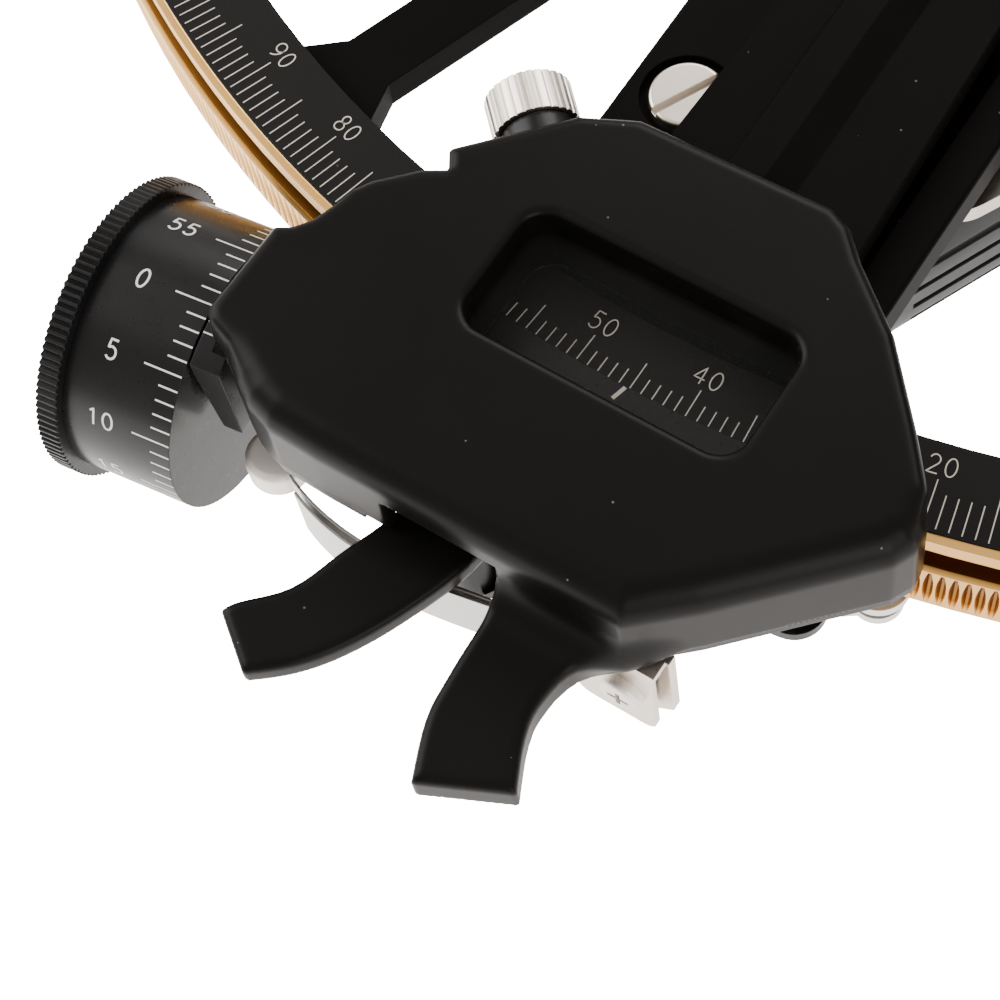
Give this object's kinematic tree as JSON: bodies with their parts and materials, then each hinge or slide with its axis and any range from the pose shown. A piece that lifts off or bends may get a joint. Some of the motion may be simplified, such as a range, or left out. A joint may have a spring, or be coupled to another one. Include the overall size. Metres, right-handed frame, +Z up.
{
  "type": "nautical sextant",
  "caption": "Marine sextant with a graduated bronze arc, a swinging index arm with worm and micrometer drum, squeeze levers, mirrors, shades and telescope.",
  "frame": {"origin": "underside of the foot below the pivot of the index arm, on the surface the sextant rests on", "axes": "+Z up along the pivot of the index arm, +Y from the graduated arc towards the pivot, +X towards the telescope's eyepiece; the index arm points along -Y at rest"},
  "size_m": [0.2615, 0.2424, 0.1225],
  "materials": {
    "black_paint": "satin black stoved paint",
    "casting_paint": "semi-matt black stoved paint",
    "satin_nickel": "satin nickel plate, matt",
    "arc_bronze": "machined bronze, black painted face",
    "black_anodised": "black anodised",
    "nickel": "satin nickel plate",
    "steel": "ground steel",
    "brass": "turned brass",
    "mirror": "front silvered glass",
    "lens_glass": "coated optical glass",
    "pane": "clear acrylic pane",
    "dark_shade": "dark neutral green glass",
    "mid_shade": "medium grey glass",
    "amber_shade": "amber glass",
    "pale_shade": "pale grey glass",
    "grip_plastic": "fine textured black plastic",
    "button_red": "red plastic",
    "black_rubber": "soft black rubber",
    "cell_wrap": "plastic wrapped cell"
  },
  "bodies": {
    "frame": {"frame_casting": "casting_paint", "graduated_arc": "arc_bronze", "arc_screws": "steel", "pivot_bush": "brass", "legs": "casting_paint", "leg_pads": "black_rubber", "strut_screws": "nickel", "handle_grip": "grip_plastic", "battery_cells": "cell_wrap", "battery_cap": "grip_plastic", "handle_bracket_lower": "nickel", "handle_bracket_upper": "nickel", "horizon_mirror": "mirror", "horizon_mirror_frame": "casting_paint", "horizon_adjust_screws": "nickel", "horizon_shade_bracket": "casting_paint", "index_shade_bracket": "casting_paint", "telescope_bracket": "casting_paint", "telescope_tube": "casting_paint", "objective_lens": "lens_glass"},
    "index_arm": {"index_arm": "casting_paint", "pivot_shaft": "steel", "arm_base_plate": "black_anodised", "lower_plate": "satin_nickel", "micrometer_cover": "black_paint", "window_pane": "pane", "index_line_plate": "black_anodised", "lamp_socket": "black_anodised", "lamp_cap": "nickel", "spring_bracket": "nickel", "bracket_screw": "satin_nickel", "leaf_springs": "steel", "index_mirror": "mirror", "index_mirror_bracket": "casting_paint"},
    "carriage": {"carriage_plate": "black_anodised", "end_screw": "satin_nickel", "release_lever": "black_paint", "vernier_block": "black_anodised"},
    "drum": {"micrometer_drum": "black_anodised", "drum_knob": "black_anodised", "worm_shaft": "steel"},
    "eyepiece": {"focus_sleeve": "black_anodised", "ocular_lens": "lens_glass", "eyecup": "black_rubber"},
    "clamp_screw": {"telescope_clamp_screw": "nickel"},
    "lamp_switch": {"switch_button": "button_red"},
    "index_shade_1": {"index_shade_frame_1": "black_anodised", "index_shade_glass_1": "dark_shade"},
    "index_shade_2": {"index_shade_frame_2": "black_anodised", "index_shade_glass_2": "mid_shade"},
    "index_shade_3": {"index_shade_frame_3": "black_anodised", "index_shade_glass_3": "amber_shade"},
    "index_shade_4": {"index_shade_frame_4": "black_anodised", "index_shade_glass_4": "pale_shade"},
    "horizon_shade_1": {"horizon_shade_frame_1": "black_anodised", "horizon_shade_glass_1": "dark_shade"},
    "horizon_shade_2": {"horizon_shade_frame_2": "black_anodised", "horizon_shade_glass_2": "amber_shade"},
    "horizon_shade_3": {"horizon_shade_frame_3": "black_anodised", "horizon_shade_glass_3": "pale_shade"}
  },
  "joints": [
    {"name": "index_swing", "type": "hinge", "parent": "frame", "child": "index_arm", "pos_m": [0, 0, 0.056], "axis": [0, 0, 1], "range_deg": [-40, 25]},
    {"name": "lever_release", "type": "hinge", "parent": "index_arm", "child": "carriage", "pos_m": [0.031, -0.158, 0.039], "axis": [0, 0, 1], "range_deg": [0, 5.5], "stiffness_Nm_per_rad": 1.2, "springref_deg": -4.58, "deforming": ["leaf_springs"]},
    {"name": "drum_spin", "type": "hinge", "parent": "carriage", "child": "drum", "pos_m": [0.0204, -0.16666, 0.0466], "axis": [0.9926, 0.1215, 0], "range_deg": [-28790, 17990]},
    {"name": "focus_slide", "type": "slide", "parent": "frame", "child": "eyepiece", "axis": [1, 0, 0], "range_m": [-0.003, 0.004]},
    {"name": "clamp_turn", "type": "hinge", "parent": "frame", "child": "clamp_screw", "pos_m": [0.055, -0.0825, 0.092], "axis": [0, -1, 0], "range_deg": [0, 1440]},
    {"name": "index_shade_1_swing", "type": "hinge", "parent": "frame", "child": "index_shade_1", "pos_m": [-0.05479, -0.00662, 0.07], "axis": [0.8419, 0.5397, 0], "range_deg": [0, 90]},
    {"name": "index_shade_2_swing", "type": "hinge", "parent": "frame", "child": "index_shade_2", "pos_m": [-0.05227, -0.005, 0.07], "axis": [0.8419, 0.5397, 0], "range_deg": [0, 90]},
    {"name": "index_shade_3_swing", "type": "hinge", "parent": "frame", "child": "index_shade_3", "pos_m": [-0.04974, -0.00338, 0.07], "axis": [0.8419, 0.5397, 0], "range_deg": [0, 90]},
    {"name": "index_shade_4_swing", "type": "hinge", "parent": "frame", "child": "index_shade_4", "pos_m": [-0.04722, -0.00176, 0.07], "axis": [0.8419, 0.5397, 0], "range_deg": [0, 90]},
    {"name": "horizon_shade_1_swing", "type": "hinge", "parent": "frame", "child": "horizon_shade_1", "pos_m": [-0.1107, -0.026, 0.07], "axis": [1, 0, 0], "range_deg": [0, 90]},
    {"name": "horizon_shade_2_swing", "type": "hinge", "parent": "frame", "child": "horizon_shade_2", "pos_m": [-0.1077, -0.026, 0.07], "axis": [1, 0, 0], "range_deg": [0, 90]},
    {"name": "horizon_shade_3_swing", "type": "hinge", "parent": "frame", "child": "horizon_shade_3", "pos_m": [-0.1047, -0.026, 0.07], "axis": [1, 0, 0], "range_deg": [0, 90]},
    {"name": "switch_press", "type": "slide", "parent": "frame", "child": "lamp_switch", "axis": [-0.9064, 0.4225, 0], "range_m": [0, 0.0015], "stiffness_N_per_m": 400, "springref_m": -0.001}
  ],
  "couplings": [
    {"joint": "index_swing", "follows": "drum_spin", "ratio": 0.0013889}
  ]
}
